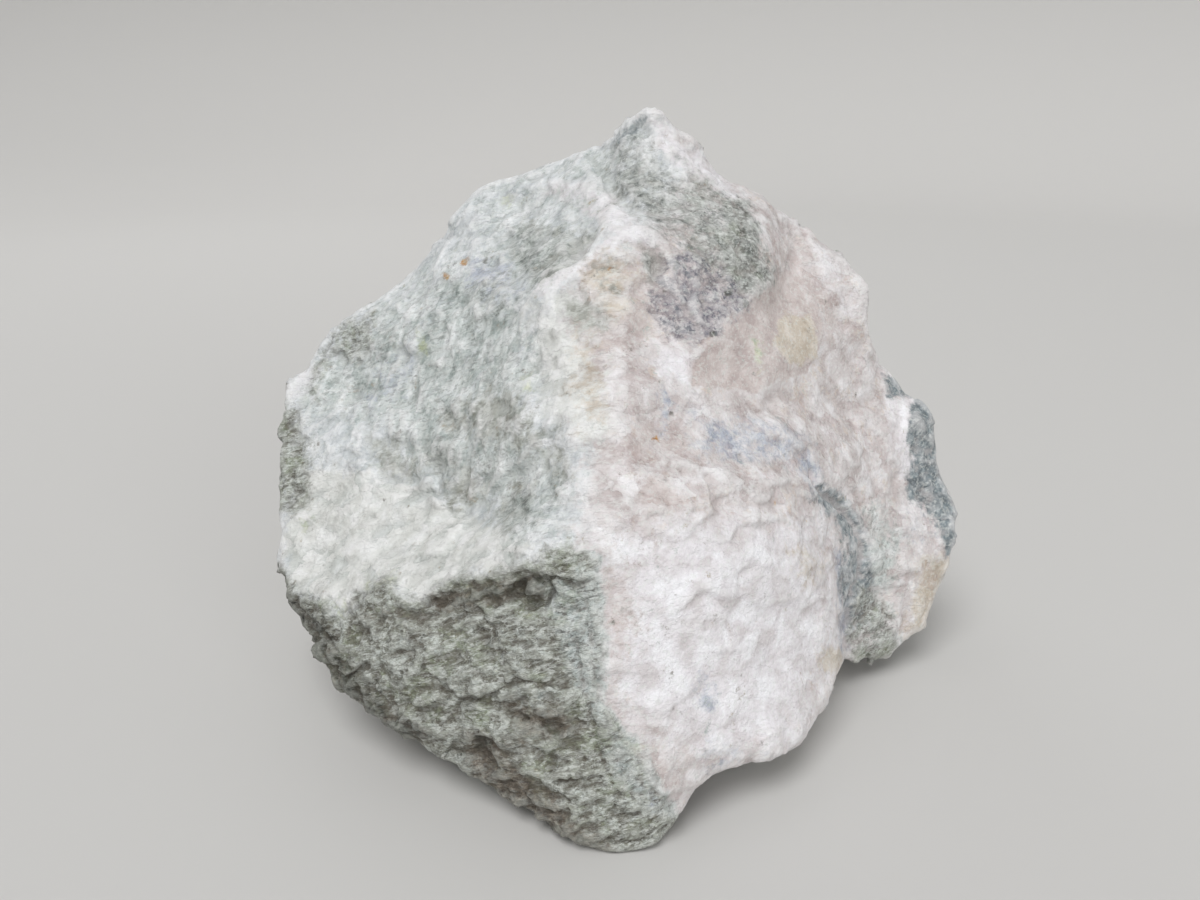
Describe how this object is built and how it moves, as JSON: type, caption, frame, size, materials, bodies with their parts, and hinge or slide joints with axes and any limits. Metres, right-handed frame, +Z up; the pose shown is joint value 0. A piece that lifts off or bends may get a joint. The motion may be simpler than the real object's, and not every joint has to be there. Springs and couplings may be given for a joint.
{
  "type": "raw jade boulder",
  "caption": "Rough natural jade boulder with a pointed top, pale broken front faces and a grey-green rind, resting on a flat underside.",
  "frame": {"origin": "centre of the bounding box's bottom face, in the plane that the stone rests on", "axes": "+Z up, +X along the stone's longest extent, -Y towards the pale front with the ridge and the shelf"},
  "size_m": [0.1778, 0.1554, 0.1385],
  "materials": {
    "jade": "rough broken stone, white to grey-green"
  },
  "bodies": {
    "root": {"boulder": "jade"}
  },
  "joints": []
}
